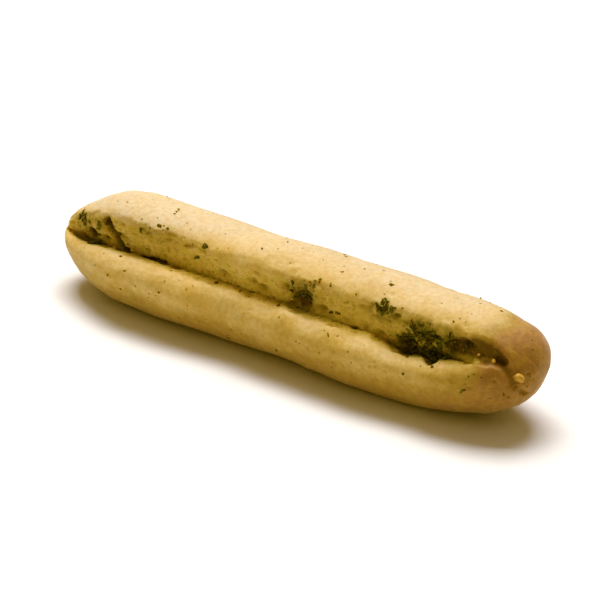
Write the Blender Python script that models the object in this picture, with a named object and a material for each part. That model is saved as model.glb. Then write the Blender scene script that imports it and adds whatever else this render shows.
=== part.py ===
"""A mini grissini breadstick: one short stick of herb dough, baked golden and split open along its front.

The stick lies along X and rests on a narrow flat of baked crust. Its front faces -Y, +Z is up, and the
origin is at the middle of its underside. The split takes a quarter out of the round body: a steep wall of
torn crumb drops from the upper lip into a crevice, and the lower lip rolls forward beneath it. The split
runs onto the tip of the left end (-X) and closes near the right end (+X), where only a crease is left.

A ring of points runs round the stick at each station along X. A section is drawn in shares of the body's
radius: reach is how far a point lies in front of the middle, and rise how far above it.
"""

import math

import bmesh
import bpy

MM = 0.001
NODE_NAME = "breadstick"

# Driving dimensions, in millimetres until the mesh is made.
LENGTH = 60.0
DEPTH = 12.5  # front to back
BODY_HEIGHT = 12.5  # of the round body, before its underside is flattened
BASE_CUT = 0.5  # height of the slice that the flat underside takes off the round body
LEFT_CAP = 11.0  # length over which the left end rounds off
RIGHT_CAP = 11.5
LEFT_ROUNDNESS = 2.0  # exponent of the end's outline: 2 is an ellipse, more is squarer
RIGHT_ROUNDNESS = 2.15
RIGHT_TIP_LIFT = 0.9  # the right end curls up a little from the tray

# The fully open split, in shares of the body's radius.
ROLL_RADIUS = 0.33  # of the lower lip
ROLL_START = math.radians(-6)  # where the lower lip leaves the round body
ROLL_END = math.radians(150)  # where it dips into the crevice
CREVICE = (0.42, 0.03)  # reach and rise of the bottom
WALL_BULGE = (0.62, 0.64)  # control point of the torn wall's curve
UPPER_LIP = math.radians(61)
SEAM = math.radians(29)  # where the two lips meet once the split has closed

# The split along the stick, in shares of the length from the middle.
OPEN_FROM, OPEN_TO = -0.50, -0.46
CLOSING_FROM, CLOSING_TO = 0.31, 0.47
TIGHTER_AT, TIGHTER_SPREAD, TIGHTER_SHARE = 0.10, 0.08, 0.15
LIP_DIPS = ((-0.48, 0.07, 0.28), (0.265, 0.055, 0.13))  # place, spread and depth of dips in the lower lip
TIP_OPENNESS = 0.35  # on the left tip
CREASE_OPENNESS = 0.07  # on the right end

# Unevenness of hand-rolled dough.
WAIST_SHARE = 0.026  # of the radius, between the two thicker stretches
WAIST_PERIOD = 28.5
THICKEST_X = 10.5
FLARE = 0.03  # growth of the radius from the middle towards the right end, and loss towards the left
BOW = 0.3  # the middle stands this far in front of the ends
WAVE = 0.011  # height of the gentle waves of the crust, as a share of the radius

# Mesh density.
BODY_STATIONS = 40
CAP_STATIONS = 11
CRUST_POINTS = 30
ROLL_POINTS = 9
WALL_POINTS = 6
LAST_CAP_SHARE = 0.95  # of the quarter turn round an end; the tip closes the rest


def smooth_step(value, start, end):
    """0 before start, 1 after end, and an S-curve between them."""
    share = min(max((value - start) / (end - start), 0.0), 1.0)
    return share * share * (3.0 - 2.0 * share)


def bump(value, centre, spread):
    """A smooth hump of height 1."""
    return math.exp(-(((value - centre) / spread) ** 2))


def between(start, end, share):
    return start + (end - start) * share


def stations():
    """The X of each ring, from the left end to the right one: closer together where the ends curve in."""
    left = -LENGTH / 2 + LEFT_CAP
    right = LENGTH / 2 - RIGHT_CAP
    turns = [math.pi / 2 * LAST_CAP_SHARE * (step + 1) / CAP_STATIONS for step in range(CAP_STATIONS)]
    body = [between(left, right, step / BODY_STATIONS) for step in range(BODY_STATIONS + 1)]
    left_end = [left - LEFT_CAP * math.sin(turn) for turn in reversed(turns)]
    right_end = [right + RIGHT_CAP * math.sin(turn) for turn in turns]
    return left_end + body + right_end


def end_taper(x):
    """The radius at x as a share of the body's: 1 along the body, falling to 0 at each tip."""
    if x < 0:
        run = max(LEFT_CAP - LENGTH / 2 - x, 0.0) / LEFT_CAP
        roundness = LEFT_ROUNDNESS
    else:
        run = max(RIGHT_CAP - LENGTH / 2 + x, 0.0) / RIGHT_CAP
        roundness = RIGHT_ROUNDNESS
    return (1.0 - min(run, 1.0) ** roundness) ** (1.0 / roundness)


def swell(x):
    """The dough's uneven thickness, as a share of the radius."""
    waist = WAIST_SHARE * math.cos(2 * math.pi * (x - THICKEST_X) / WAIST_PERIOD)
    return 1.0 + waist + FLARE * 2.0 * x / LENGTH


def centre_line(x):
    """The Y and Z of the middle of the ring at x."""
    y = -BOW * (1.0 - (2.0 * x / LENGTH) ** 2)
    z = BODY_HEIGHT / 2 - BASE_CUT + RIGHT_TIP_LIFT * smooth_step(x, 0.25 * LENGTH, 0.5 * LENGTH)
    return y, z


def openness(x):
    """How open the split is at x, from 0 to 1."""
    along = x / LENGTH
    opening = between(TIP_OPENNESS, 1.0, smooth_step(along, OPEN_FROM, OPEN_TO))
    closing = 1.0 - smooth_step(along, CLOSING_FROM, CLOSING_TO)
    tighter = 1.0 - TIGHTER_SHARE * bump(along, TIGHTER_AT, TIGHTER_SPREAD)
    return max(opening * closing * tighter, CREASE_OPENNESS)


def crust_wave(x, angle):
    """Gentle dents and swellings of the crust, as a share of the radius."""
    long_wave = math.sin(0.31 * x + 2.0 * angle)
    short_wave = 0.6 * math.sin(0.58 * x - 3.0 * angle + 1.3)
    return WAVE * (long_wave + short_wave)


def crust_outline():
    """The round body from the upper lip, over the back and the underside, to the lower lip."""
    crust_end = ROLL_START + 2 * math.pi
    for step in range(CRUST_POINTS):
        angle = between(UPPER_LIP, crust_end, step / CRUST_POINTS)
        yield angle, math.cos(angle), math.sin(angle)


def roll_outline(x):
    """The open lower lip: a roll that touches the round body from inside and ends in the crevice."""
    middle_reach = (1.0 - ROLL_RADIUS) * math.cos(ROLL_START)
    middle_rise = (1.0 - ROLL_RADIUS) * math.sin(ROLL_START)
    dip = sum(depth * bump(x / LENGTH, place, spread) for place, spread, depth in LIP_DIPS)
    for step in range(ROLL_POINTS):
        share = step / ROLL_POINTS
        turn = between(ROLL_START, ROLL_END, share)
        reach = middle_reach + ROLL_RADIUS * math.cos(turn)
        rise = middle_rise + ROLL_RADIUS * math.sin(turn) - dip * share
        yield between(ROLL_START, SEAM, share), reach, rise


def wall_outline():
    """The torn wall, a curve of one bulge from the crevice to the upper lip."""
    lip = (math.cos(UPPER_LIP), math.sin(UPPER_LIP))
    for step in range(WALL_POINTS):
        share = step / WALL_POINTS
        reach, rise = (
            between(between(low, mid, share), between(mid, high, share), share)
            for low, mid, high in zip(CREVICE, WALL_BULGE, lip)
        )
        yield between(SEAM, UPPER_LIP, share), reach, rise


def ring(x):
    """The points of the section at x, once round from the upper lip, in millimetres."""
    centre_y, centre_z = centre_line(x)
    open_share = openness(x)
    points = []
    for angle, reach, rise in (*crust_outline(), *roll_outline(x), *wall_outline()):
        size = end_taper(x) * (swell(x) + crust_wave(x, angle))
        reach = between(math.cos(angle), reach, open_share)
        rise = between(math.sin(angle), rise, open_share)
        points.append((x, centre_y - size * reach * DEPTH / 2, centre_z + size * rise * BODY_HEIGHT / 2))
    return points


def loft_rings(mesh):
    """Joins a ring at each station to the next one and closes both ends with a low cone at the tip."""
    rings = []
    for x in stations():
        rings.append([mesh.verts.new([MM * value for value in point]) for point in ring(x)])
    for near, far in zip(rings, rings[1:]):
        for index in range(len(near)):
            mesh.faces.new((near[index - 1], near[index], far[index], far[index - 1]))
    for last, tip_x in ((rings[0], -LENGTH / 2), (rings[-1], LENGTH / 2)):
        tip = bmesh.ops.poke(mesh, faces=[mesh.faces.new(last)])["verts"][0]
        tip.co.x = MM * tip_x


def flatten_underside(mesh):
    """Cuts the round body at Z = 0 and closes it with one flat face, which the stick rests on."""
    everything = mesh.verts[:] + mesh.edges[:] + mesh.faces[:]
    cut = bmesh.ops.bisect_plane(
        mesh, geom=everything, plane_co=(0, 0, 0), plane_no=(0, 0, -1), clear_outer=True
    )
    rim = [item for item in cut["geom_cut"] if isinstance(item, bmesh.types.BMEdge)]
    bmesh.ops.contextual_create(mesh, geom=rim)


def centre_on_origin(mesh):
    """Moves the middle of the box, seen from above, to the origin."""
    for axis in (0, 1):
        values = [vertex.co[axis] for vertex in mesh.verts]
        middle = (min(values) + max(values)) / 2
        for vertex in mesh.verts:
            vertex.co[axis] -= middle


def crust_material():
    material = bpy.data.materials.new("crust")
    material.use_nodes = True
    shader = material.node_tree.nodes["Principled BSDF"]
    shader.inputs["Base Color"].default_value = (0.72, 0.45, 0.15, 1.0)
    shader.inputs["Roughness"].default_value = 0.6
    shader.inputs["Metallic"].default_value = 0.0
    return material


def build_breadstick():
    shape = bmesh.new()
    loft_rings(shape)
    flatten_underside(shape)
    centre_on_origin(shape)
    bmesh.ops.recalc_face_normals(shape, faces=shape.faces)
    mesh = bpy.data.meshes.new(NODE_NAME)
    shape.to_mesh(mesh)
    shape.free()
    mesh.shade_smooth()
    mesh.set_sharp_from_angle(angle=math.radians(50))
    mesh.materials.append(crust_material())
    bpy.context.scene.collection.objects.link(bpy.data.objects.new(NODE_NAME, mesh))


for leftover in list(bpy.data.objects):
    bpy.data.objects.remove(leftover, do_unlink=True)
build_breadstick()
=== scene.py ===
"""The looks of the mini grissini breadstick: golden crust, torn crumb in the split, herbs and crumbs.

Shapes are worked out in millimetres in the CAD model's frame, and become metres when a mesh is made.
The loaf repeats the CAD model's formulas on a much finer grid and adds the relief of baked dough.

A place on the stick is an X (mm) and a closed angle (degrees): the angle round the stick that the place
would have if the split were closed. 0 faces the front, 90 is up, 180 faces the back and -90 is down.
"""

import math

import bpy
import numpy as np
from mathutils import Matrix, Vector, noise


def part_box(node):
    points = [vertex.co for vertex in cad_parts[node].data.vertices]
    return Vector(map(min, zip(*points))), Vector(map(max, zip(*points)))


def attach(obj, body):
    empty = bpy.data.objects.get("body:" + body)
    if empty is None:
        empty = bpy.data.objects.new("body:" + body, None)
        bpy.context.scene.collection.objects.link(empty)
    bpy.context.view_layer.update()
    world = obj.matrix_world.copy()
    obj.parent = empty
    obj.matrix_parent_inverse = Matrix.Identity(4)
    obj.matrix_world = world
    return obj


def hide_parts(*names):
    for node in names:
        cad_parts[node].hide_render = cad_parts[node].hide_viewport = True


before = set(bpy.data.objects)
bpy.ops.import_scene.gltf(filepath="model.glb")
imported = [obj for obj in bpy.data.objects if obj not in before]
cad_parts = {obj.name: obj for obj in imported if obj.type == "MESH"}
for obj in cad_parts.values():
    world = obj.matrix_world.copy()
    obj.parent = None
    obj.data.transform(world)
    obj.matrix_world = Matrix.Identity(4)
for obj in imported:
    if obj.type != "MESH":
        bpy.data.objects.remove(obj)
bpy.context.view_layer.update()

MM = 0.001
NODE = "breadstick"
BODY = "root"
BOX_LOW, BOX_HIGH = (np.array(corner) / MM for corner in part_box(NODE))
SEED = 7

# The CAD model's shape. A section is drawn in shares of the body's radius: reach is how far a point lies in
# front of the middle, and rise how far above it.
LENGTH = BOX_HIGH[0] - BOX_LOW[0]
DEPTH = 12.5
BODY_HEIGHT = 12.5
BASE_CUT = 0.5
LEFT_CAP, RIGHT_CAP = 11.0, 11.5
LEFT_ROUNDNESS, RIGHT_ROUNDNESS = 2.0, 2.15
RIGHT_TIP_LIFT = 0.9
LIFT_FROM, LIFT_TO = 0.25, 0.5  # in shares of the length from the middle
ROLL_RADIUS = 0.33
ROLL_START, ROLL_END = math.radians(-6), math.radians(150)
CREVICE = (0.42, 0.03)
WALL_BULGE = (0.62, 0.64)
UPPER_LIP, SEAM = math.radians(61), math.radians(29)
OPEN_FROM, OPEN_TO = -0.50, -0.46
CLOSING_FROM, CLOSING_TO = 0.31, 0.47
TIGHTER_AT, TIGHTER_SPREAD, TIGHTER_SHARE = 0.10, 0.08, 0.15
LIP_DIPS = ((-0.48, 0.07, 0.28), (0.265, 0.055, 0.13))
TIP_OPENNESS, CREASE_OPENNESS = 0.35, 0.07
WAIST_SHARE, WAIST_PERIOD, THICKEST_X = 0.026, 28.5, 10.5
FLARE = 0.03
BOW = 0.3
WAVE = 0.011

# The fine grid: the CAD model's points round a ring, with FINER steps between neighbours.
CRUST_POINTS, ROLL_POINTS, WALL_POINTS = 30, 9, 6
FINER = 5
BODY_STATIONS = 262
CAP_STATIONS = 64
LAST_CAP_SHARE = 0.97
LIP_SPREAD = 11.0  # degrees on each side of the upper lip that are rounded off
LIP_ROUNDS = 45


def smooth_step(value, start, end):
    """0 before start, 1 after end, and an S-curve between them."""
    share = np.clip((value - start) / (end - start), 0.0, 1.0)
    return share * share * (3.0 - 2.0 * share)


def plateau(value, rise, fall):
    """1 between two slopes, each given by where it starts and ends, and 0 outside them."""
    return smooth_step(value, *rise) * (1.0 - smooth_step(value, *fall))


def bump(value, centre, spread):
    """A smooth hump of height 1."""
    return np.exp(-(((value - centre) / spread) ** 2))


def between(start, end, share):
    return start + (end - start) * share


# ---------------------------------------------------------------- the loaf's shape, as in the CAD model


def stations():
    """The X of each ring, closer together where the ends curve in."""
    left, right = -LENGTH / 2 + LEFT_CAP, LENGTH / 2 - RIGHT_CAP
    turns = math.pi / 2 * LAST_CAP_SHARE * np.arange(1, CAP_STATIONS + 1) / CAP_STATIONS
    body = np.linspace(left, right, BODY_STATIONS)
    return np.concatenate([left - LEFT_CAP * np.sin(turns[::-1]), body, right + RIGHT_CAP * np.sin(turns)])


def end_taper(x):
    """The radius at x as a share of the body's."""
    run_left = np.clip((LEFT_CAP - LENGTH / 2 - x) / LEFT_CAP, 0.0, 1.0)
    run_right = np.clip((RIGHT_CAP - LENGTH / 2 + x) / RIGHT_CAP, 0.0, 1.0)
    left = (1.0 - run_left**LEFT_ROUNDNESS) ** (1.0 / LEFT_ROUNDNESS)
    right = (1.0 - run_right**RIGHT_ROUNDNESS) ** (1.0 / RIGHT_ROUNDNESS)
    return left * right


def swell(x):
    """The dough's uneven thickness, as a share of the radius."""
    waist = WAIST_SHARE * np.cos(2 * math.pi * (x - THICKEST_X) / WAIST_PERIOD)
    return 1.0 + waist + FLARE * 2.0 * x / LENGTH


def openness(x):
    """How open the split is at x, from 0 to 1."""
    along = x / LENGTH
    opening = between(TIP_OPENNESS, 1.0, smooth_step(along, OPEN_FROM, OPEN_TO))
    closing = 1.0 - smooth_step(along, CLOSING_FROM, CLOSING_TO)
    tighter = 1.0 - TIGHTER_SHARE * bump(along, TIGHTER_AT, TIGHTER_SPREAD)
    return np.maximum(opening * closing * tighter, CREASE_OPENNESS)


def crust_wave(x, angle):
    """Gentle dents and swellings of the crust, as a share of the radius."""
    long_wave = np.sin(0.31 * x + 2.0 * angle)
    short_wave = 0.6 * np.sin(0.58 * x - 3.0 * angle + 1.3)
    return WAVE * (long_wave + short_wave)


def outline():
    """Once round from the upper lip: closed angle, and the open split's reach, rise and share of a dip."""
    crust = np.linspace(UPPER_LIP, ROLL_START + 2 * math.pi, CRUST_POINTS, endpoint=False)
    roll = np.arange(ROLL_POINTS) / ROLL_POINTS
    wall = np.arange(WALL_POINTS) / WALL_POINTS

    turn = between(ROLL_START, ROLL_END, roll)
    roll_middle = 1.0 - ROLL_RADIUS
    roll_reach = roll_middle * math.cos(ROLL_START) + ROLL_RADIUS * np.cos(turn)
    roll_rise = roll_middle * math.sin(ROLL_START) + ROLL_RADIUS * np.sin(turn)

    lip = (math.cos(UPPER_LIP), math.sin(UPPER_LIP))
    wall_reach, wall_rise = (
        between(between(low, mid, wall), between(mid, high, wall), wall)
        for low, mid, high in zip(CREVICE, WALL_BULGE, lip)
    )

    roll_angle = between(ROLL_START, SEAM, roll) + 2 * math.pi
    wall_angle = between(SEAM, UPPER_LIP, wall) + 2 * math.pi
    angle = np.concatenate([crust, roll_angle, wall_angle])
    reach = np.concatenate([np.cos(crust), roll_reach, wall_reach])
    rise = np.concatenate([np.sin(crust), roll_rise, wall_rise])
    dipped = np.concatenate([0.0 * crust, roll, 0.0 * wall])
    return angle, reach, rise, dipped


def finer_ring(values):
    """Values round a closed ring, with a smooth curve of FINER steps between neighbours (Catmull-Rom)."""
    before, here, after, beyond = (np.roll(values, shift, axis=1) for shift in (1, 0, -1, -2))
    steps = []
    for step in range(FINER):
        t = step / FINER
        slope = (after - before) * t
        curve = (2 * before - 5 * here + 4 * after - beyond) * t**2
        twist = (3 * here - before - 3 * after + beyond) * t**3
        steps.append(here + 0.5 * (slope + curve + twist))
    return np.stack(steps, axis=2).reshape(values.shape[0], -1, values.shape[2])


def round_lip(grid, angle):
    """Wears the upper lip's edge down to a soft shoulder."""
    away = (np.degrees(angle - UPPER_LIP) + 180.0) % 360.0 - 180.0
    share = 0.5 * bump(away, 0.0, LIP_SPREAD)[None, :, None]
    for _ in range(LIP_ROUNDS):
        beside = (np.roll(grid, 1, axis=1) + np.roll(grid, -1, axis=1)) / 2
        grid = grid + share * (beside - grid)
    return grid


def smooth_loaf():
    """The CAD model's surface: the X of the stations, the closed angle of each line, and a grid of points."""
    along = stations()
    angle, reach, rise, dipped = outline()
    x = along[:, None]
    dip = sum(depth * bump(x / LENGTH, place, spread) for place, spread, depth in LIP_DIPS)
    size = end_taper(x) * (swell(x) + crust_wave(x, angle))
    reach = between(np.cos(angle), reach, openness(x))
    rise = between(np.sin(angle), rise - dip * dipped, openness(x))
    lift = RIGHT_TIP_LIFT * smooth_step(x, LIFT_FROM * LENGTH, LIFT_TO * LENGTH)
    points = np.stack(
        [
            x + 0.0 * size,
            -BOW * (1.0 - (2.0 * x / LENGTH) ** 2) - size * reach * DEPTH / 2,
            BODY_HEIGHT / 2 - BASE_CUT + lift + size * rise * BODY_HEIGHT / 2,
        ],
        axis=2,
    )
    ring_steps = np.arange(len(angle) + 1)
    fine_steps = np.arange(len(angle) * FINER) / FINER
    fine_angle = np.interp(fine_steps, ring_steps, [*angle, angle[0] + 2 * math.pi])
    return along, fine_angle, round_lip(finer_ring(points), fine_angle)


# ---------------------------------------------------------------- patterns


def pattern(points, size, shift, stretch=1.0):
    """Smooth noise from about -1 to 1.

    Its lumps are size millimetres across, and stretch times that along X. Each shift gives another pattern.
    """
    places = points / (size * stretch, size, size) + shift
    return np.array([noise.noise(place) for place in places.tolist()])


def layers(points, lumps):
    """The sum of patterns: the height, size, shift and stretch of each."""
    return sum(height * pattern(points, size, shift, stretch) for height, size, shift, stretch in lumps)


def pores(points, size, shift, fill, stretch):
    """1 in the middle of each pore and 0 between pores, which stand about size millimetres apart."""
    places = points / (size * stretch, size, size) + shift
    away = np.array([noise.voronoi(place)[0][0] for place in places.tolist()])
    return 1.0 - smooth_step(away, 0.0, fill)


def domes(points, centres, radii):
    """The highest of many low domes: 1 at a centre and 0 beyond its radius."""
    height = np.zeros(len(points))
    for centre, radius in zip(centres, radii):
        away = np.linalg.norm(points - centre, axis=1) / radius
        height = np.maximum(height, np.clip(1.0 - away**2, 0.0, None) ** 2)
    return height


def outwards(points, angle):
    """How far out each point lies in the direction of a closed angle (degrees), in shares of the radius."""
    turn = math.radians(angle)
    up = points[:, 2] - BODY_HEIGHT / 2
    return (-math.cos(turn) * points[:, 1] + math.sin(turn) * up) / (DEPTH / 2)


def grid_normals(grid):
    """The outward direction at each point of the grid."""
    along = np.gradient(grid, axis=0)
    around = np.roll(grid, -1, axis=1) - np.roll(grid, 1, axis=1)
    normals = np.cross(around, along)
    normals /= np.maximum(np.linalg.norm(normals, axis=2, keepdims=True), 1e-9)
    outward = np.sum(normals * (grid - grid.mean(axis=1, keepdims=True)))
    return normals * np.sign(outward)


# ---------------------------------------------------------------- the finished surface

# Layers of relief: height and size of the lumps (mm), shift of the pattern and stretch along X.
DENTS = ((0.10, 7.0, 1.7, 1.5), (0.06, 2.6, 5.2, 1.4))
GRAIN = ((0.035, 1.0, 7.7, 1.6), (0.024, 0.5, 2.9, 1.4))
LOWER_LIP_KNOBS = ((0.24, 2.3, 3.3, 1.2),)
UPPER_LIP_TATTERS = ((0.16, 1.3, 11.2, 1.5),)
CLODS = ((0.16, 2.2, 3.9, 1.4), (0.11, 0.8, 6.1, 2.0))
KNOBS_AT, KNOBS_SPREAD = 6.0, 18.0  # closed angles (degrees)
TATTERS_AT, TATTERS_SPREAD = 57.0, 8.0
TIP_FADE = 0.35  # share of the body's radius up to which the fine relief fades in from each tip

# Domes at random places of the crust: number, smallest and largest radius, and height or depth (mm).
BLISTERS, BLISTER_RADII, BLISTER_HEIGHT = 34, (0.7, 1.8), 0.13
PINHOLES, PINHOLE_RADII, PINHOLE_DEPTH = 110, (0.2, 0.4), 0.16
HARDLY_TORN = 0.05  # a point that is torn less than this is crust

# Pores of the crumb: distance apart (mm), shift of the pattern, how much of the distance they fill, stretch.
BIG_PORES, BIG_PORE_DEPTH = (1.6, 4.4, 0.5, 1.6), 0.5
SMALL_PORES, SMALL_PORE_DEPTH = (0.7, 8.3, 0.55, 1.3), 0.18
CRUMB_SUNK = 0.05  # mm below the crust

# The torn crumb between two edges, as closed angles (degrees) in the open split and where it has closed.
LOW_EDGE, LOW_EDGE_CLOSED, LOW_EDGE_RAGGED, LOW_EDGE_SLOPE = 16.0, 40.0, 2.5, 3.0
HIGH_EDGE, HIGH_EDGE_CLOSED, HIGH_EDGE_RAGGED, HIGH_EDGE_SLOPE = 56.0, 41.0, 2.8, 5.0
HIGH_EDGE_SHIFTS = ((-4.5, -4.5, 3.0), (-13.5, 3.0, 3.0))  # X (mm), rise (degrees) and spread (mm)
RAGGED = ((1.0, 1.1, 3.1, 1.0), (0.6, 0.45, 9.4, 1.0))
CRUMB_ENDS = (26.5, 27.5)  # X (mm)

# The bottom of the split, and the middle stretch where torn crumb fills it up.
BOTTOM = math.degrees(SEAM) - 1.5
CREVICE_SPREAD = 4.0  # degrees
CREVICE_OPENNESS = (0.3, 0.6)  # over which the crevice comes in
FILLED_FROM, FILLED_TO = (-16.0, -11.0), (11.0, 15.0)  # X (mm)
FILLING_HEIGHT, FILLING_SPREAD = 0.55, 7.0  # mm and degrees

# Cracks as lists of places along their middle: X (mm), closed angle (degrees) and half width (mm).
WEDGE = ((21.2, 41.0, 1.2), (24.0, 43.5, 1.8), (25.8, 41.0, 1.6), (27.4, 38.0, 0.9))
CREASE = ((27.0, 40.0, 0.7), (28.2, 24.0, 0.75), (28.8, 0.0, 0.6), (29.3, -35.0, 0.5))
LEFT_CRACK = (
    (-23.2, 55.0, 0.6),
    (-22.6, 45.0, 0.8),
    (-21.0, 34.0, 0.8),
    (-19.0, 27.0, 0.7),
    (-15.3, 24.0, 0.6),
)
CRACK_STEPS = 40
WEDGE_DEPTH, CREASE_DEPTH, LEFT_CRACK_DEPTH, HOLLOW_DEPTH = 0.7, 0.5, 0.8, 0.7
WANDER, WANDER_SIZE, WANDER_SHIFTS = 0.2, 0.9, (1.9, 4.3, 8.8)  # how far cracks stray from their path (mm)
# Hollows in the split, dented in and darkened with painted shade: X (mm), closed angle (degrees) and radius
# (mm).
HOLLOWS = (
    (-25.4, 36.0, 1.1),
    (-23.2, 51.0, 0.9),
    (2.7, 41.5, 1.8),
    (15.8, 35.0, 1.7),
    (19.4, 14.0, 1.2),
)
# Where the dough swelled or sank a little: X (mm), closed angle (degrees), radius and height (mm).
SWELLINGS = (
    (28.6, 140.0, 4.0, 0.6),
    (-27.5, 115.0, 5.0, -0.5),
    (0.3, 122.0, 9.5, 0.32),
    (-13.5, 58.0, 4.5, -0.3),
    (-4.5, 53.0, 5.5, 0.45),
    (10.8, 58.0, 3.0, -0.25),
)

# How dark each thing makes the surface, as painted shade in the crevice, cracks, hollows, pores and pinholes:
# 1 is as dark as it gets.
CREVICE_DARK, FILLED_LIGHTER, CREASE_DARK, LEFT_CRACK_DARK = 0.4, 0.8, 0.55, 1.2
WEDGE_SHADE, HOLLOW_SHADE = 1.6, 1.3
BIG_PORE_DARK, SMALL_PORE_DARK, PINHOLE_DARK = 0.8, 0.5, 0.7

# Toast: the run over which it comes in (mm), how brown it gets, and how far its patches stray (mm). Low down
# it is partly painted shade.
TOAST_PATCHES = (4.0, 2.2, 1.6)  # size, shift and stretch
RIGHT_TOAST, RIGHT_STRAY = (23.0, 28.5), 1.2
LOWER_RIGHT_TOAST, LOWER_RIGHT_BROWN = (16.5, 23.5), 0.34
LOWER_RIGHT_AT, LOWER_RIGHT_SPREAD = -25.0, 50.0  # closed angles (degrees)
ALONG_TOAST, ALONG_BROWN = (-26.0, 5.0), 0.1
LOW_TOAST_AND_SHADE, LOW_BROWN, LOW_STRAY = (1.5, 6.8), 0.57, 0.6  # this run and the next are heights
UNDER_TOAST_AND_SHADE, UNDER_BROWN, UNDER_STRAY = (0.2, 2.5), 0.15, 0.5
BACK_ANGLE, BACK_BROWN, BACK_MOTTLE = 190.0, 0.6, 0.3
TORN_PALER = 0.9

# Flour and a painted highlight on the upper crust, by how far out it lies towards FLOUR_ANGLE, in shares of
# the radius.
FLOUR_ANGLE = 112.0
FLOUR_FROM_LEFT, FLOUR_FROM, FLOUR_SLOPE = 0.25, 0.62, 0.38
FLOUR_NARROWS, FLOUR_ENDS = (-22.0, -2.0), (21.0, 28.5)  # X (mm)


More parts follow.
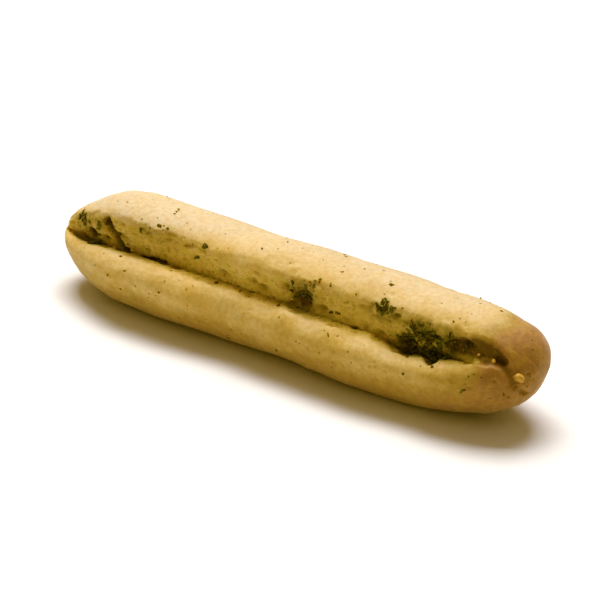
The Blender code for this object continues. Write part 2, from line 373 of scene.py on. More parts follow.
class Loaf:
    """The finished surface as a grid of points, with what the material and the toppings need to know."""

    def __init__(self, rng):
        self.along, self.angle, grid = smooth_loaf()
        self.shape = grid.shape[:2]
        self.x = np.repeat(self.along, self.shape[1])
        # The closed angle, which here runs on without a break from the underside up to the upper lip.
        self.front_turn = np.degrees(np.tile(self.angle, self.shape[0])) - 360.0
        normals = grid_normals(grid).reshape(-1, 3)
        self.points = grid.reshape(-1, 3)
        middle = (self.points.max(axis=0) + self.points.min(axis=0)) / 2
        self.points[:, :2] += ((BOX_LOW + BOX_HIGH) / 2 - middle)[:2]
        self.find_torn()
        self.find_cracks()
        self.points = self.points + normals * self.relief(rng)[:, None]
        self.points[:, 2] = np.maximum(self.points[:, 2], 0.0)
        self.normals = grid_normals(self.points.reshape(grid.shape)).reshape(-1, 3)
        self.find_toast_and_shade()

    def nearest(self, x, angle):
        """The number of the grid point nearest to a place."""
        column = np.argmin(np.abs(self.along - x))
        first = math.degrees(self.angle[0])
        turn = math.radians((angle - first) % 360.0 + first)
        return column * self.shape[1] + np.argmin(np.abs(self.angle - turn))

    def spot(self, x, angle):
        """The grid point nearest to a place."""
        return self.points[self.nearest(x, angle)]

    def find_torn(self):
        """Where crumb shows: the wall of the split and the inner side of the lower lip, with ragged edges."""
        ragged = layers(self.points, RAGGED)
        closing = smooth_step(self.x, WEDGE[0][0], WEDGE[-1][0])
        low = between(LOW_EDGE, LOW_EDGE_CLOSED, closing) - LOW_EDGE_RAGGED * ragged
        high = between(HIGH_EDGE, HIGH_EDGE_CLOSED, closing) + HIGH_EDGE_RAGGED * ragged
        for x, rise, spread in HIGH_EDGE_SHIFTS:
            high = high + rise * bump(self.x, x, spread)
        low_slope = (low - LOW_EDGE_SLOPE, low + LOW_EDGE_SLOPE)
        high_slope = (high - HIGH_EDGE_SLOPE, high + HIGH_EDGE_SLOPE)
        self.torn = plateau(self.front_turn, low_slope, high_slope) * (1.0 - smooth_step(self.x, *CRUMB_ENDS))
        bottom = bump(self.front_turn, BOTTOM, CREVICE_SPREAD)
        self.crevice = bottom * smooth_step(openness(self.x), *CREVICE_OPENNESS)
        self.filled = plateau(self.x, FILLED_FROM, FILLED_TO)

    def crack(self, points, path):
        """1 in the middle of a crack along a path and 0 outside it."""
        steps = np.linspace(0, len(path) - 1, CRACK_STEPS)
        x, angle, half = (np.interp(steps, np.arange(len(path)), column) for column in zip(*path))
        return domes(points, [self.spot(*place) for place in zip(x, angle)], half)

    def find_cracks(self):
        strays = [pattern(self.points, WANDER_SIZE, shift) for shift in WANDER_SHIFTS]
        points = self.points + WANDER * np.stack(strays, axis=1)
        self.wedge = self.crack(points, WEDGE)
        self.crease = self.crack(points, CREASE)
        self.left_crack = self.crack(points, LEFT_CRACK)
        middles = [self.spot(x, angle) for x, angle, _ in HOLLOWS]
        self.hollow = domes(points, middles, [radius for _, _, radius in HOLLOWS])

    def shade(self):
        """Painted shade: how far the crumb is darkened in the crevice and in the cracks at both ends."""
        split = CREVICE_DARK * self.crevice * (1.0 - FILLED_LIGHTER * self.filled)
        return np.clip(split + CREASE_DARK * self.crease + LEFT_CRACK_DARK * self.left_crack, 0.0, 1.0)

    def paint_deep_shade(self):
        """Painted shade: how far the crumb is darkened in the closing wedge and in the hollows."""
        return np.clip(WEDGE_SHADE * self.wedge + HOLLOW_SHADE * self.hollow, 0.0, 1.0)

    def scattered_domes(self, rng, count, radii):
        """Domes at random places of the crust."""
        crust = np.flatnonzero(self.torn < HARDLY_TORN)
        return domes(self.points, self.points[rng.choice(crust, count)], rng.uniform(*radii, count))

    def skin(self, rng):
        """The relief of the crust: grain, blisters, pinholes and the lower lip's knobs."""
        knobs = layers(self.points, LOWER_LIP_KNOBS) * bump(self.front_turn, KNOBS_AT, KNOBS_SPREAD)
        blisters = BLISTER_HEIGHT * self.scattered_domes(rng, BLISTERS, BLISTER_RADII)
        self.pinholes = self.scattered_domes(rng, PINHOLES, PINHOLE_RADII)
        return layers(self.points, GRAIN) + blisters + knobs - PINHOLE_DEPTH * self.pinholes

    def crumb(self):
        """The relief of the torn crumb: clods, and pores of two sizes."""
        big = pores(self.points, *BIG_PORES)
        small = pores(self.points, *SMALL_PORES)
        # Painted shade: how far the pores are darkened.
        self.pores = np.clip(BIG_PORE_DARK * big + SMALL_PORE_DARK * small, 0.0, 1.0) * self.torn
        return layers(self.points, CLODS) - CRUMB_SUNK - BIG_PORE_DEPTH * big - SMALL_PORE_DEPTH * small

    def coarse_relief(self):
        """The relief that is as strong at the tips: the filling of the split, cracks, and swellings."""
        filling = FILLING_HEIGHT * self.filled * bump(self.front_turn, BOTTOM, FILLING_SPREAD)
        cracks = -WEDGE_DEPTH * self.wedge - CREASE_DEPTH * self.crease
        cracks = cracks - LEFT_CRACK_DEPTH * self.left_crack - HOLLOW_DEPTH * self.hollow
        swellings = sum(
            height * domes(self.points, [self.spot(x, angle)], [radius])
            for x, angle, radius, height in SWELLINGS
        )
        return filling, cracks, swellings

    def relief(self, rng):
        """How far each point is moved outwards, in millimetres."""
        tatters = layers(self.points, UPPER_LIP_TATTERS) * bump(self.front_turn, TATTERS_AT, TATTERS_SPREAD)
        fine = layers(self.points, DENTS) + tatters + between(self.skin(rng), self.crumb(), self.torn)
        taper = smooth_step(end_taper(self.x), 0.0, TIP_FADE)
        filling, cracks, swellings = self.coarse_relief()
        return taper * fine + filling + cracks + swellings

    def find_toast_and_shade(self):
        """How brown the crust is: pale on top at the left end, brown at the right end and below, where it is
        partly painted shade.
        """
        patches = pattern(self.points, *TOAST_PATCHES)
        height = self.points[:, 2]
        self.back = smooth_step(outwards(self.points, BACK_ANGLE), 0.0, 1.0)
        strayed = self.x + RIGHT_STRAY * patches
        right = smooth_step(strayed, *RIGHT_TOAST)
        lower_right = LOWER_RIGHT_BROWN * smooth_step(strayed, *LOWER_RIGHT_TOAST)
        lower_right = lower_right * bump(self.front_turn, LOWER_RIGHT_AT, LOWER_RIGHT_SPREAD)
        along = ALONG_BROWN * smooth_step(self.x, *ALONG_TOAST)
        # Darker low on the stick and underneath: partly toast, partly painted shade.
        low = LOW_BROWN * (1.0 - smooth_step(height + LOW_STRAY * patches, *LOW_TOAST_AND_SHADE))
        under = UNDER_BROWN * (1.0 - smooth_step(height + UNDER_STRAY * patches, *UNDER_TOAST_AND_SHADE))
        back = BACK_BROWN * self.back * (1.0 + BACK_MOTTLE * patches)
        toast_and_shade = right + lower_right + along + back + low + under
        self.toast_and_shade = np.clip(toast_and_shade, 0.0, 1.0) * (1.0 - TORN_PALER * self.torn)
        self.find_flour_and_highlight()

    def find_flour_and_highlight(self):
        """Where the upper crust is floured and lightened by a painted highlight: widely at the left end, and
        in a narrower strip further on.
        """
        start = between(FLOUR_FROM_LEFT, FLOUR_FROM, smooth_step(self.x, *FLOUR_NARROWS))
        self.flour_and_highlight = smooth_step(outwards(self.points, FLOUR_ANGLE), start, start + FLOUR_SLOPE)
        self.flour_and_highlight *= 1.0 - smooth_step(self.x, *FLOUR_ENDS)


# ---------------------------------------------------------------- meshes


def new_piece(name, points, faces, material, attributes):
    """Makes a smooth-shaded object of points in millimetres, which rides on the body."""
    mesh = bpy.data.meshes.new(name)
    mesh.from_pydata((np.asarray(points) * MM).tolist(), [], faces)
    mesh.shade_smooth()
    for key, values in attributes.items():
        mesh.attributes.new(key, "FLOAT", "POINT").data.foreach_set("value", np.asarray(values, np.float32))
    mesh.materials.append(material)
    piece = bpy.data.objects.new(name, mesh)
    bpy.context.scene.collection.objects.link(piece)
    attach(piece, BODY)
    return piece


def loaf_faces(shape):
    """Quads between neighbouring rings, and a fan of triangles at each tip."""
    rows, columns = shape
    column = np.arange(columns)
    beside = (column + 1) % columns
    faces = []
    for row in range(rows - 1):
        low, high = row * columns, (row + 1) * columns
        faces += np.stack([low + column, low + beside, high + beside, high + column], axis=1).tolist()
    left_tip, right_tip = rows * columns, rows * columns + 1
    last = (rows - 1) * columns
    faces += [(left_tip, int(b), int(a)) for a, b in zip(column, beside)]
    faces += [(right_tip, int(last + a), int(last + b)) for a, b in zip(column, beside)]
    return faces


def with_tips(loaf, values):
    """Adds the values of the two tip points: the means of the end rings."""
    grid = np.asarray(values).reshape(*loaf.shape, -1)
    joined = np.concatenate([grid.reshape(-1, grid.shape[2]), grid[:1].mean(axis=1), grid[-1:].mean(axis=1)])
    return joined if joined.shape[1] > 1 else joined[:, 0]


def make_loaf(loaf):
    points = with_tips(loaf, loaf.points)
    points[-2, 0] = BOX_LOW[0]
    points[-1, 0] = BOX_HIGH[0]
    masks = {
        "torn": loaf.torn,
        # Painted shade: in the crevice and cracks, the wedge and hollows, and the pores and pinholes.
        "crevice": loaf.shade(),
        "deep_shade": loaf.paint_deep_shade(),
        "pore": np.clip(loaf.pores + PINHOLE_DARK * loaf.pinholes, 0.0, 1.0),
        "toast_and_shade": loaf.toast_and_shade,
        "back": loaf.back,
        "flour_and_highlight": loaf.flour_and_highlight,
        "stain": herb_stain(loaf),
    }
    masks = {key: with_tips(loaf, values) for key, values in masks.items()}
    piece = new_piece("breadstick_loaf", points, loaf_faces(loaf.shape), crust_material(), masks)
    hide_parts(NODE)
    return piece


# ---------------------------------------------------------------- herbs and crumbs

# Clusters of herbs in the split: place and spread along the stick (mm), closed angle and spread (degrees),
# number of flakes, mean flake length (mm), and height of the heap (mm).
HERB_CLUSTERS = (
    (-26.4, 0.5, 50.0, 4.0, 14, 0.7, 0.1),
    (-25.4, 0.8, 26.0, 7.0, 16, 0.8, 0.2),
    (-23.6, 0.4, 46.0, 5.0, 8, 0.6, 0.1),
    (-19.8, 1.4, 28.0, 3.0, 7, 0.5, 0.05),
    (-17.0, 1.2, 62.0, 3.0, 8, 0.4, 0.03),
    (2.7, 0.8, 43.0, 5.0, 30, 0.7, 0.2),
    (4.0, 0.7, 59.0, 3.0, 8, 0.5, 0.05),
    (12.6, 0.6, 57.0, 3.5, 24, 0.6, 0.05),
    (15.9, 0.8, 34.0, 6.0, 50, 0.8, 0.4),
    (17.9, 0.9, 44.0, 6.0, 50, 0.8, 0.5),
    (18.6, 1.2, 25.0, 6.5, 60, 0.8, 0.6),
    (21.2, 0.8, 40.0, 6.0, 26, 0.7, 0.3),
)
FARTHEST = 1.8  # from the middle of a cluster, in spreads
CLUSTER_LENGTHS = (0.5, 1.4)  # in mean flake lengths
LYING_LOW = 1.5  # more than 1 puts more flakes near the bottom of the heap
CLUSTER_TILT, HEAP_TILT = 0.25, 0.35
# Single flakes: X (mm), closed angle (degrees) and length (mm).
HERB_FLECKS = (
    (-15.7, 90.0, 1.2),
    (-18.6, 3.0, 0.8),
    (-11.2, 45.0, 0.9),
    (-10.2, 59.0, 0.9),
    (7.4, 7.0, 0.8),
    (4.4, 109.0, 0.7),
    (12.0, 84.0, 0.7),
    (24.0, -8.0, 0.8),
)
FLECK_TILT = 0.08
# Flecks scattered at random over the whole stick.
SCATTERED_FLECKS = 150
SCATTER_ALONG = 0.47  # to each side of the middle, in shares of the length
SCATTERED_LENGTHS = (0.2, 0.55)  # mm
SCATTERED_SUNK, SCATTERED_TILT = 0.01, 0.12
# The stain that a cluster leaves on the crumb.
FULL_STAIN = 20.0  # flakes
STAIN_SPREADS, STAIN_MARGIN = 1.7, 0.8  # the stain's spread, in the cluster's spreads, and mm more

# A flake's form. The width is a share of its length, and fold, curl and crumple are heights in widths. The
# rim is an oval of points that are shifted along it, in steps, and in and out, in shares of the radius.
FLAKE_RIM = 9
FLAKE_WIDTH = (0.35, 0.85)
RIM_SHIFT, RIM_RADIUS, INNER_RADIUS = 0.3, (0.55, 1.15), 0.5
FLAKE_FOLD, FLAKE_CURL, FLAKE_CRUMPLE = (-0.3, 0.5), (-0.4, 0.4), 0.07
HALF_THICKNESS = (0.03, 0.06)  # mm


def herb_stain(loaf):
    """Where the herbs have coloured the crumb."""
    stain = np.zeros(len(loaf.points))
    for x, x_spread, angle, _, count, _, _ in HERB_CLUSTERS:
        away = np.linalg.norm(loaf.points - loaf.spot(x, angle), axis=1)
        spread = STAIN_SPREADS * x_spread + STAIN_MARGIN
        stain = np.maximum(stain, min(count / FULL_STAIN, 1.0) * bump(away, 0.0, spread))
    return stain


def directions_at(normal, rng):
    """Two directions in the surface, at a random turn."""
    side = np.cross(normal, rng.normal(size=3))
    side /= np.linalg.norm(side)
    return side, np.cross(normal, side)


def flake(rng, length):
    """A thin crumpled leaf fragment round the origin, closed all round: points and faces.

    Its points are the middle and an inner ring of the upper side, the rim, and the same of the lower side.
    """
    width = length * rng.uniform(*FLAKE_WIDTH)
    rim_step = np.arange(FLAKE_RIM) + rng.uniform(-RIM_SHIFT, RIM_SHIFT, FLAKE_RIM)
    rim_turn = 2 * math.pi * rim_step / FLAKE_RIM
    rim = np.stack([np.cos(rim_turn), np.sin(rim_turn)], axis=1) * rng.uniform(*RIM_RADIUS, (FLAKE_RIM, 1))
    flat = np.concatenate([[[0.0, 0.0]], INNER_RADIUS * rim, rim, INNER_RADIUS * rim, [[0.0, 0.0]]])

    top, inner, outer, under = 0, 1, 1 + FLAKE_RIM, 1 + 2 * FLAKE_RIM
    bottom = 1 + 3 * FLAKE_RIM
    fold, curl = rng.uniform(*FLAKE_FOLD), rng.uniform(*FLAKE_CURL)
    height = width * (fold * np.abs(flat[:, 1]) + curl * flat[:, 0] ** 2)
    height[inner:under] += width * rng.normal(0.0, FLAKE_CRUMPLE, 2 * FLAKE_RIM)
    height[under:bottom] = height[inner:outer]
    half = rng.uniform(*HALF_THICKNESS)
    height[:outer] += half
    height[under:] -= half
    points = np.column_stack([flat[:, 0] * length / 2, flat[:, 1] * width / 2, height])

    faces = []
    for a in range(FLAKE_RIM):
        b = (a + 1) % FLAKE_RIM
        faces.append((top, inner + a, inner + b))
        faces.append((inner + a, outer + a, outer + b, inner + b))
        faces.append((under + b, outer + b, outer + a, under + a))
        faces.append((bottom, under + b, under + a))
    return points, faces


# A crumb's form in shares of its size: height of its tips and squared radius, and its random unevenness.
CRUMB_TURNS, CRUMB_LEVELS = 7, 4
CRUMB_TIP, CRUMB_BULGE = 0.45, 0.3
CRUMB_DENTED, CRUMB_STRETCHED = (0.75, 1.2), (0.7, 1.1)


def crumb_bit(rng, size):
    """A small angular crumb round the origin: a ball of a few levels with its points moved in and out."""
    points, faces = [(0.0, 0.0, -CRUMB_TIP)], []
    for level in range(CRUMB_LEVELS):
        rise = (level + 0.5) / CRUMB_LEVELS - 0.5
        radius = math.sqrt(CRUMB_BULGE - rise * rise)
        for step in range(CRUMB_TURNS):
            turn = 2 * math.pi * (step + 0.5 * level) / CRUMB_TURNS
            points.append((radius * math.cos(turn), radius * math.sin(turn), rise))
    points.append((0.0, 0.0, CRUMB_TIP))
    top = len(points) - 1
    for a in range(CRUMB_TURNS):
        b = (a + 1) % CRUMB_TURNS
        faces.append((0, 1 + b, 1 + a))
        for level in range(CRUMB_LEVELS - 1):
            low, high = 1 + level * CRUMB_TURNS, 1 + (level + 1) * CRUMB_TURNS
            faces.append((low + a, low + b, high + b, high + a))
        faces.append((top, top - CRUMB_TURNS + a, top - CRUMB_TURNS + b))
    uneven = rng.uniform(*CRUMB_DENTED, (len(points), 1))
    points = np.array(points) * uneven * rng.uniform(*CRUMB_STRETCHED, 3)
    return points * size, faces


class Heap:
    """Many small shapes on the loaf that become one mesh."""

    def __init__(self, loaf, rng):
        self.loaf, self.rng = loaf, rng
        self.points, self.faces, self.tones = [], [], []
        self.count = 0

    def add(self, shape, spot, lift, tilt):
        """Lays a shape on a grid point, lift millimetres above it and tilted at random out of the surface."""
        points, faces = shape
        normal = self.loaf.normals[spot]
        up = normal + tilt * self.rng.normal(size=3)
        up /= np.linalg.norm(up)
        side, across = directions_at(up, self.rng)
        placed = self.loaf.points[spot] + lift * normal + points @ np.array([side, across, up])
        placed[:, 2] += max(0.0, -placed[:, 2].min())
        self.points.append(placed)
        self.faces += [tuple(self.count + index for index in face) for face in faces]
        self.tones.append(np.full(len(points), self.rng.uniform()))
        self.count += len(points)

    def piece(self, name, material, slot_name):
        tones = {"tone": np.concatenate(self.tones)}
        return new_piece(name, np.concatenate(self.points), self.faces, material, tones)


def make_herbs(loaf, rng):
    herbs = Heap(loaf, rng)
    for x, x_spread, angle, angle_spread, count, length, height in HERB_CLUSTERS:
        tilt = CLUSTER_TILT + HEAP_TILT * min(height, 1.0)
        for _ in range(count):
            out = np.clip(rng.normal(size=2), -FARTHEST, FARTHEST)
            spot = loaf.nearest(x + x_spread * out[0], angle + angle_spread * out[1])
            lift = height * rng.uniform() ** LYING_LOW
            herbs.add(flake(rng, length * rng.uniform(*CLUSTER_LENGTHS)), spot, lift, tilt)
    for x, angle, length in HERB_FLECKS:
        herbs.add(flake(rng, length), loaf.nearest(x, angle), 0.0, FLECK_TILT)
    for _ in range(SCATTERED_FLECKS):
        x = rng.uniform(-SCATTER_ALONG, SCATTER_ALONG) * LENGTH
        spot = loaf.nearest(x, rng.uniform(0.0, 360.0))
        length = rng.uniform(*SCATTERED_LENGTHS) * (1.0 + loaf.torn[spot])
        herbs.add(flake(rng, length), spot, -SCATTERED_SUNK, SCATTERED_TILT)
    return herbs.piece("herb_flakes", herb_material(), "herb")


# Crumbs: place and spread along the stick (mm), closed angle and spread (degrees), number and mean size (mm).
CRUMB_GROUPS = (
    (0.0, 14.0, 31.0, 5.0, 34, 0.38),
    (-8.0, 9.0, 12.0, 9.0, 10, 0.3),
)
CRUMB_SIZES = (0.6, 1.3)  # in mean sizes
CRUMB_LIFT, CRUMB_TILT = 0.1, 0.6  # the lift is a share of the crumb's mean size
# The pale crumb beside the crease: X (mm), closed angle (degrees) and size (mm).
PALE_CRUMB = (29.0, 16.0, 1.15)


def make_crumbs(loaf, rng):
    crumbs = Heap(loaf, rng)
    for x, x_spread, angle, angle_spread, count, size in CRUMB_GROUPS:
        for _ in range(count):
            spot = loaf.nearest(rng.normal(x, x_spread), rng.normal(angle, angle_spread))
            crumbs.add(crumb_bit(rng, size * rng.uniform(*CRUMB_SIZES)), spot, CRUMB_LIFT * size, CRUMB_TILT)
    x, angle, size = PALE_CRUMB
    crumbs.add(crumb_bit(rng, size), loaf.nearest(x, angle), CRUMB_LIFT * size, 0.0)
    return crumbs.piece("crumb_bits", crumb_material(), "crust")


# ---------------------------------------------------------------- materials

# CREAM: flour and a painted highlight on the upper crust.
CREAM = (0.75, 0.61, 0.39)
PALE = (0.79, 0.60, 0.29)
GOLDEN = (0.73, 0.51, 0.20)
# DEEP_GOLD: the front's first toast, which low on the stick is partly painted shade.
DEEP_GOLD = (0.47, 0.31, 0.10)
ORANGE_TAN = (0.475, 0.268, 0.110)
BROWN = (0.375, 0.196, 0.103)
FRECKLES = (0.84, 0.76, 0.62)
CRUMB = (0.63, 0.47, 0.14)
CRUMB_SHADE = (0.42, 0.28, 0.055)
# Painted shade: the crevice and cracks, and the closing wedge and hollows, are darkened towards these.
CREVICE_SHADE = (0.15, 0.080, 0.006)
SHADE_BROWN = (0.14, 0.055, 0.006)
HERB_STAIN = (0.15, 0.095, 0.014)
SPECK = (0.13, 0.085, 0.02)
LEAF_DARK, LEAF_OLIVE = (0.09, 0.058, 0.010), (0.16, 0.145, 0.022)
LEAF_BROWN, LEAF_LIGHT = (0.22, 0.11, 0.02), (0.26, 0.23, 0.05)
BIT_PALE, BIT_GOLDEN = (0.78, 0.54, 0.23), (0.72, 0.43, 0.14)

# The span of a noise's values that becomes the whole range: the narrower, the harder its patches' edges.
SOFT, MEDIUM, HARD = (0.25, 0.75), (0.3, 0.7), (0.35, 0.65)
# Sizes of the materials' patterns, in millimetres.
GOLDEN_PATCH, FLOUR_PATCH, TOAST_PATCH, FRECKLE_SIZE = 5.0, 1.6, 1.4, 0.5
CRUMB_PATCH, STAIN_PATCH, SPECK_GAP = 0.8, 0.9, 0.9
GRAIN_SIZE, PIT_GAP, SHINE_PATCH = 0.32, 0.42, 1.3
BIT_BLOTCH, BIT_GRAIN, BIT_SHINE = 0.3, 0.15, 0.4
SPECK_STRENGTH = 0.75
TORN_ROUGHER = 0.25
# A Mix node's colour sockets.
FIRST_COLOUR, SECOND_COLOUR, MIXED_COLOUR = 6, 7, 2


class Shader:
    """A material whose nodes are added by short calls."""

    def __init__(self, name):
        self.material = bpy.data.materials.new(name)
        self.material.use_nodes = True
        self.nodes = self.material.node_tree.nodes
        self.links = self.material.node_tree.links
        self.surface = self.nodes["Principled BSDF"]
        self.place = self.nodes.new("ShaderNodeTexCoord").outputs["Object"]

    def put(self, socket, value):
        """Links a socket to another one's output, or sets its own value."""
        if isinstance(value, bpy.types.NodeSocket):
            self.links.new(value, socket)
        elif isinstance(value, tuple) and socket.type == "RGBA":
            socket.default_value = (*value, 1.0)
        else:
            socket.default_value = value

    def attribute(self, name):
        node = self.nodes.new("ShaderNodeAttribute")
        node.attribute_name = name
        return node.outputs["Fac"]

    def lumps(self, size, detail=3.0, rough=0.55):
        """Noise whose lumps are about size millimetres across, from 0 to 1."""
        node = self.nodes.new("ShaderNodeTexNoise")
        self.put(node.inputs["Vector"], self.place)
        node.inputs["Scale"].default_value = 1.0 / (size * MM)
        node.inputs["Detail"].default_value = detail
        node.inputs["Roughness"].default_value = rough
        return node.outputs["Fac"]

    def cells(self, size):
        """Cells about size millimetres apart: the distance from the middle of each, and its random colour."""
        node = self.nodes.new("ShaderNodeTexVoronoi")
        self.put(node.inputs["Vector"], self.place)
        node.inputs["Scale"].default_value = 1.0 / (size * MM)
        return node.outputs["Distance"], node.outputs["Color"]

    def ranged(self, value, span, to=(0.0, 1.0)):
        """Maps one span of values to another with a soft S-curve."""
        node = self.nodes.new("ShaderNodeMapRange")
        node.interpolation_type = "SMOOTHSTEP"
        for name, number in zip(("From Min", "From Max", "To Min", "To Max"), (*span, *to)):
            node.inputs[name].default_value = number
        self.put(node.inputs["Value"], value)
        return node.outputs["Result"]

    def math(self, operation, first, second):
        """The result of an operation on two numbers, kept from 0 to 1."""
        node = self.nodes.new("ShaderNodeMath")
        node.operation = operation
        node.use_clamp = True
        self.put(node.inputs[0], first)
        self.put(node.inputs[1], second)
        return node.outputs[0]

    def times(self, first, second):
        return self.math("MULTIPLY", first, second)

    def mix(self, factor, first, second, blend="MIX"):
        """A colour between two colours."""
        node = self.nodes.new("ShaderNodeMix")
        node.data_type = "RGBA"
        node.blend_type = blend
        self.put(node.inputs["Factor"], factor)
        self.put(node.inputs[FIRST_COLOUR], first)
        self.put(node.inputs[SECOND_COLOUR], second)
        return node.outputs[MIXED_COLOUR]

    def bumps(self, height, depth, strength, normal=None):
        """Fine relief, depth millimetres deep."""
        node = self.nodes.new("ShaderNodeBump")
        node.inputs["Strength"].default_value = strength
        node.inputs["Distance"].default_value = depth * MM
        self.put(node.inputs["Height"], height)
        if normal is not None:
            self.put(node.inputs["Normal"], normal)
        return node.outputs["Normal"]

    def finish(self, **values):
        """Sets the surface's sockets, with spaces for underscores in their names."""
        for name, value in values.items():
            self.put(self.surface.inputs[name.replace("_", " ")], value)
        return self.material


def crust_colour(s):
    """Pale and golden patches, cream where floured and painted with a highlight, toasted step by step to
    brown (low down partly painted shade), with fine freckles.
    """
    colour = s.mix(s.ranged(s.lumps(GOLDEN_PATCH), HARD), PALE, GOLDEN)
    # Flour, with a painted highlight, on the upper crust.
    flour_and_highlight = s.ranged(s.lumps(FLOUR_PATCH, detail=4.0), SOFT, to=(0.55, 1.0))
    colour = s.mix(s.times(s.attribute("flour_and_highlight"), flour_and_highlight), colour, CREAM)
    mottle = s.ranged(s.lumps(TOAST_PATCH, detail=5.0, rough=0.65), SOFT, to=(0.65, 1.25))
    toast_and_shade = s.times(s.attribute("toast_and_shade"), mottle)
    light_toast_and_shade = s.mix(s.attribute("back"), DEEP_GOLD, ORANGE_TAN)
    for span, toasted in (((0.02, 0.55), light_toast_and_shade), ((0.35, 0.85), ORANGE_TAN), ((0.65, 1.15), BROWN)):
        colour = s.mix(s.ranged(toast_and_shade, span), colour, toasted)
    freckled = s.ranged(s.lumps(FRECKLE_SIZE, detail=5.0, rough=0.65), (0.35, 0.7), to=(0.0, 0.7))
    return s.mix(freckled, colour, FRECKLES, "MULTIPLY")


def crumb_colour(s):
    """Pale crumb, with painted shade in its pores."""
    colour = s.mix(s.ranged(s.lumps(CRUMB_PATCH, detail=4.0), MEDIUM), CRUMB, GOLDEN)
    return s.mix(s.ranged(s.attribute("pore"), (0.1, 0.9), to=(0.0, 0.8)), colour, CRUMB_SHADE)


def with_marks(s, torn, colour):
    """Adds herb stains on the crumb, painted shade in the crevices and hollows, and fine specks of herb all
    over.
    """
    stained = s.times(s.attribute("stain"), s.ranged(torn, (0.0, 0.4)))
    stained = s.times(stained, s.ranged(s.lumps(STAIN_PATCH, detail=4.0), (0.3, 0.55), to=(0.2, 0.9)))
    colour = s.mix(stained, colour, HERB_STAIN)
    # Painted shade in the crevice and the cracks.
    colour = s.mix(s.ranged(s.attribute("crevice"), (0.2, 1.0), to=(0.0, 0.9)), colour, CREVICE_SHADE)
    # Painted shade in the closing wedge and the hollows.
    colour = s.mix(s.ranged(s.attribute("deep_shade"), (0.15, 0.9), to=(0.0, 0.9)), colour, SHADE_BROWN)
    away, lot = s.cells(SPECK_GAP)
    speck = s.times(s.ranged(away, (0.10, 0.16), to=(1.0, 0.0)), s.ranged(lot, (0.62, 0.66)))
    return s.mix(s.times(speck, SPECK_STRENGTH), colour, SPECK)


def crust_material():
    """Golden crust with toasted ends, freckles and pinholes, and pale porous crumb where it is torn."""
    s = Shader("baked_crust")
    torn = s.attribute("torn")
    colour = with_marks(s, torn, s.mix(torn, crust_colour(s), crumb_colour(s)))
    grain = s.bumps(s.lumps(GRAIN_SIZE, detail=5.0, rough=0.65), depth=0.10, strength=0.6)
    away, _ = s.cells(PIT_GAP)
    pitted = s.bumps(s.times(torn, s.ranged(away, (0.05, 0.5))), depth=0.16, strength=0.8, normal=grain)
    rough = s.ranged(s.lumps(SHINE_PATCH), MEDIUM, to=(0.5, 0.66))
    return s.finish(
        Base_Color=colour,
        Roughness=s.math("ADD", rough, s.times(torn, TORN_ROUGHER)),
        Normal=pitted,
        Specular_IOR_Level=0.35,
        Sheen_Weight=0.22,
        Sheen_Roughness=0.5,
        Subsurface_Weight=0.3,
        Subsurface_Radius=(1.0, 0.6, 0.25),
        Subsurface_Scale=0.0012,
    )


def finish_bits(s, colour, blotches, depth, strength, roughness):
    """Finishes the material of small bits: blotches of another colour, and a crumpled surface."""
    colour = s.mix(s.ranged(s.lumps(BIT_BLOTCH), (0.4, 0.7), to=(0.0, 0.5)), colour, blotches)
    relief = s.bumps(s.lumps(BIT_GRAIN), depth, strength)
    rough = s.ranged(s.lumps(BIT_SHINE), MEDIUM, to=roughness)
    return s.finish(Base_Color=colour, Roughness=rough, Normal=relief)


def herb_material():
    """Dried leaf: from dark brown to olive, with a few russet ones, each flake its own tone."""
    s = Shader("dried_herb")
    tone = s.attribute("tone")
    colour = s.mix(s.ranged(tone, (0.2, 0.8)), LEAF_DARK, LEAF_OLIVE)
    colour = s.mix(s.ranged(tone, (0.75, 0.95), to=(0.0, 0.9)), colour, LEAF_BROWN)
    return finish_bits(s, colour, LEAF_LIGHT, depth=0.03, strength=0.5, roughness=(0.6, 0.85))


def crumb_material():
    """Dry crumbs, each its own tone."""
    s = Shader("loose_crumb")
    colour = s.mix(s.attribute("tone"), BIT_PALE, BIT_GOLDEN)
    return finish_bits(s, colour, CRUMB_SHADE, depth=0.05, strength=0.6, roughness=(0.7, 0.9))


# ---------------------------------------------------------------- floor, light and camera

MIDDLE = Vector((BOX_LOW + BOX_HIGH) / 2 * MM)
VIEW_AZIMUTH, VIEW_ELEVATION = math.radians(34.0), math.radians(30.0)
VIEW_DISTANCE = 0.8
VIEW_WIDTH = 0.0635
SENSOR = 36.0

FLOOR_HALF = 2.0
FLOOR_TINTS = ((0.91, 0.91, 0.90), (0.93, 0.93, 0.92))
FLOOR_PATCH = 60.0  # mm

WHITE = (1.0, 1.0, 1.0)
WARM = (1.0, 0.84, 0.64)
SKY = (1.0, 0.79, 0.60)

# Tone curves: points of the light and how it is shown, for all colours and for blue.
TONES = ((0.05, 0.034), (0.15, 0.118), (0.40, 0.37))
BLUE_TONES = ((0.05, 0.012), (0.12, 0.068), (0.25, 0.22))
BLUE_CURVE, ALL_CURVE = 2, 3  # places in the curve mapping


def make_floor():
    mesh = bpy.data.meshes.new("floor")
    corners = [(x * FLOOR_HALF, y * FLOOR_HALF, 0) for x, y in ((-1, -1), (1, -1), (1, 1), (-1, 1))]
    mesh.from_pydata(corners, [], [(0, 1, 2, 3)])
    s = Shader("white_table")
    tint = s.mix(s.ranged(s.lumps(FLOOR_PATCH), MEDIUM), *FLOOR_TINTS)
    mesh.materials.append(s.finish(Base_Color=tint, Roughness=0.8))
    floor = bpy.data.objects.new("floor", mesh)
    bpy.context.scene.collection.objects.link(floor)


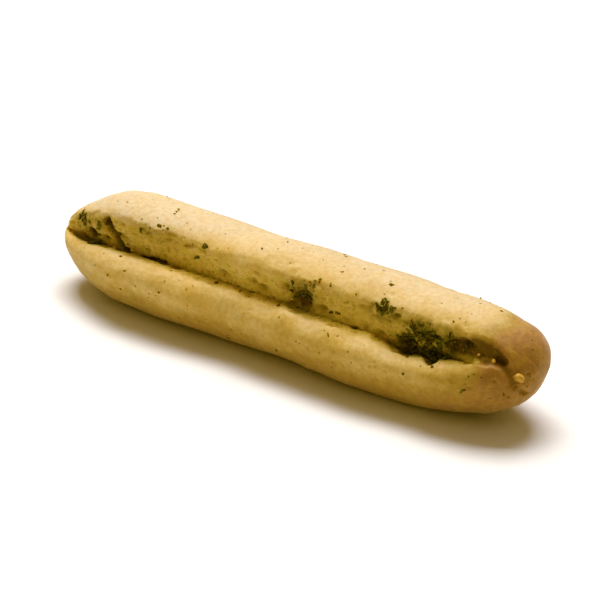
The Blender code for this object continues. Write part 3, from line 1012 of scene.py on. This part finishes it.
def make_light(name, direction, distance, size, power, colour):
    """A soft box of a width and a height that shines at the middle of the stick."""
    lamp = bpy.data.lights.new(name, "AREA")
    lamp.shape = "RECTANGLE"
    lamp.size, lamp.size_y = size
    lamp.energy = power
    lamp.color = colour
    box = bpy.data.objects.new(name, lamp)
    towards = Vector(direction).normalized()
    box.location = MIDDLE + towards * distance
    box.rotation_euler = towards.to_track_quat("Z", "Y").to_euler()
    bpy.context.scene.collection.objects.link(box)


def make_world(colour, strength):
    world = bpy.data.worlds.new("studio")
    world.use_nodes = True
    sky = world.node_tree.nodes["Background"]
    sky.inputs["Color"].default_value = (*colour, 1.0)
    sky.inputs["Strength"].default_value = strength
    bpy.context.scene.world = world


def make_camera():
    lens = bpy.data.cameras.new("camera")
    lens.sensor_width = SENSOR
    lens.lens = SENSOR * VIEW_DISTANCE / VIEW_WIDTH
    camera = bpy.data.objects.new("camera", lens)
    back = Vector(
        (
            math.sin(VIEW_AZIMUTH) * math.cos(VIEW_ELEVATION),
            -math.cos(VIEW_AZIMUTH) * math.cos(VIEW_ELEVATION),
            math.sin(VIEW_ELEVATION),
        )
    )
    camera.location = MIDDLE + back * VIEW_DISTANCE
    camera.rotation_euler = back.to_track_quat("Z", "Y").to_euler()
    bpy.context.scene.collection.objects.link(camera)
    bpy.context.scene.camera = camera


def make_print_tones():
    """Shades a little deeper and warmer than the plain transform shows them, as in a printed picture."""
    settings = bpy.context.scene.view_settings
    settings.view_transform = "Standard"
    settings.use_curve_mapping = True
    for curve, tones in ((ALL_CURVE, TONES), (BLUE_CURVE, BLUE_TONES)):
        for light, shown in tones:
            settings.curve_mapping.curves[curve].points.new(light, shown)
    settings.curve_mapping.update()


def make_stage():
    make_floor()
    make_light("key", (-0.22, 0.34, 0.93), distance=0.6, size=(0.42, 0.32), power=4.42, colour=WHITE)
    make_light("front_fill", (0.12, -0.42, 0.90), distance=0.9, size=(0.7, 0.7), power=0.35, colour=WARM)
    make_world(SKY, strength=0.30)
    make_camera()
    make_print_tones()


def build():
    rng = np.random.default_rng(SEED)
    loaf = Loaf(rng)
    make_loaf(loaf)
    make_herbs(loaf, rng)
    make_crumbs(loaf, rng)
    make_stage()


build()
